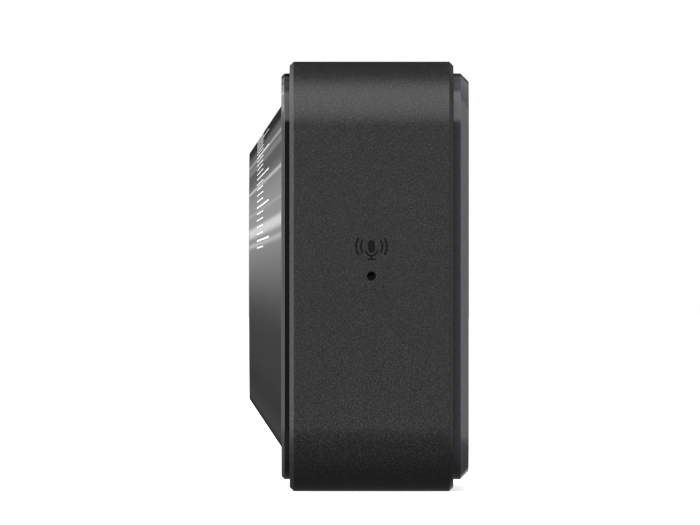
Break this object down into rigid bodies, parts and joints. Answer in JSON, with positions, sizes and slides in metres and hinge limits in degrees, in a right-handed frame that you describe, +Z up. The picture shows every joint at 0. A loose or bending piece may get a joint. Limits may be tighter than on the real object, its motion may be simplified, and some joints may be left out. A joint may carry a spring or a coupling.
{
  "type": "action camera",
  "caption": "Slim action camera with a band-shaped body, conical lens surround, gloss front plate, bevelled rear glass, flush buttons and two hinged covers.",
  "frame": {"origin": "middle of the footprint, on the surface the camera stands on", "axes": "+Z up, the lens looks along -Y, +X is the side with the microphone hole, nearest the lens"},
  "size_m": [0.06, 0.0216, 0.042],
  "materials": {
    "grained_body": "fine-grained satin",
    "gloss_plate": "polished",
    "spun_cone": "spun, clear-coated",
    "cover_glass": "polished, coated",
    "lens_glass": "polished, coated",
    "rear_glass": "polished, black behind",
    "inner_plastic": "moulded",
    "light_trap": "dead matt",
    "cast_frame": "die-cast",
    "steel": "plated",
    "socket_nickel": "nickel-plated",
    "black_rubber": "matt",
    "red_silicone": "satin",
    "circuit_board": "solder mask",
    "chip": "moulded",
    "gold": "plated",
    "thermal_pad": "soft",
    "battery_wrap": "printed film",
    "dark_button": "fine-grained satin",
    "light_pipe": "frosted",
    "display": "polished",
    "flex": "film",
    "foil_antenna": "etched",
    "card_black": "printed",
    "filter_glass": "polished",
    "sensor": "polished"
  },
  "bodies": {
    "housing": {"body_band": "grained_body", "front_plate": "gloss_plate", "front_seal": "black_rubber", "front_chassis": "inner_plastic", "rear_frame": "cast_frame", "rear_seal": "black_rubber", "rear_glass": "rear_glass", "frame_screws": "steel", "tripod_insert": "socket_nickel", "lens_bezel": "spun_cone", "lens_seal": "black_rubber", "bezel_screws": "steel", "lens_cover_glass": "cover_glass", "lens_baffle": "light_trap", "lens_barrel": "light_trap", "lens_front_element": "lens_glass", "lens_inner_elements": "lens_glass", "lens_holder": "inner_plastic", "lens_screws": "steel", "ir_filter": "filter_glass", "image_sensor": "sensor", "sensor_board": "circuit_board", "main_board": "circuit_board", "board_screws": "steel", "processor": "chip", "thermal_pad": "thermal_pad", "shield_can": "steel", "heat_spreader": "cast_frame", "memory_chips": "chip", "board_components": "chip", "usb_port": "steel", "hdmi_port": "steel", "card_socket": "steel", "battery_pack": "battery_wrap", "contact_block": "inner_plastic", "battery_contacts": "gold", "shutter_switch": "inner_plastic", "power_switch": "gold", "status_light": "light_pipe", "microphone": "steel", "mic_boot": "black_rubber", "mic_membrane": "black_rubber", "speaker": "inner_plastic", "speaker_mesh": "black_rubber", "wifi_antenna": "foil_antenna", "display_panel": "display", "display_flex": "flex", "battery_door_pin": "steel", "io_door_pin": "steel"},
    "shutter_key": {"shutter_button": "dark_button", "shutter_seal": "black_rubber", "shutter_plunger": "inner_plastic"},
    "power_key": {"power_button": "dark_button"},
    "battery_cover": {"battery_door": "grained_body", "battery_door_seal": "red_silicone"},
    "cover_latch": {"battery_latch": "dark_button"},
    "port_cover": {"io_door": "grained_body", "io_door_seal": "red_silicone"},
    "card": {"memory_card": "card_black"}
  },
  "joints": [
    {"name": "shutter_press", "type": "slide", "parent": "housing", "child": "shutter_key", "axis": [0, 0, -1], "range_m": [0, 0.0004], "stiffness_N_per_m": 1500},
    {"name": "power_press", "type": "slide", "parent": "housing", "child": "power_key", "axis": [0, 1, 0], "range_m": [0, 0.0003], "stiffness_N_per_m": 1500},
    {"name": "battery_cover_hinge", "type": "hinge", "parent": "housing", "child": "battery_cover", "pos_m": [-0.0103, 0.00475, 0.0008], "axis": [1, 0, 0], "range_deg": [0, 90]},
    {"name": "cover_latch_slide", "type": "slide", "parent": "battery_cover", "child": "cover_latch", "axis": [1, 0, 0], "range_m": [0, 0.0015]},
    {"name": "port_cover_hinge", "type": "hinge", "parent": "housing", "child": "port_cover", "pos_m": [-0.0292, -0.0019, 0.024], "axis": [0, 0, 1], "range_deg": [0, 90]},
    {"name": "card_push", "type": "slide", "parent": "housing", "child": "card", "axis": [0, 0, 1], "range_m": [-0.002, 0.0005]}
  ]
}
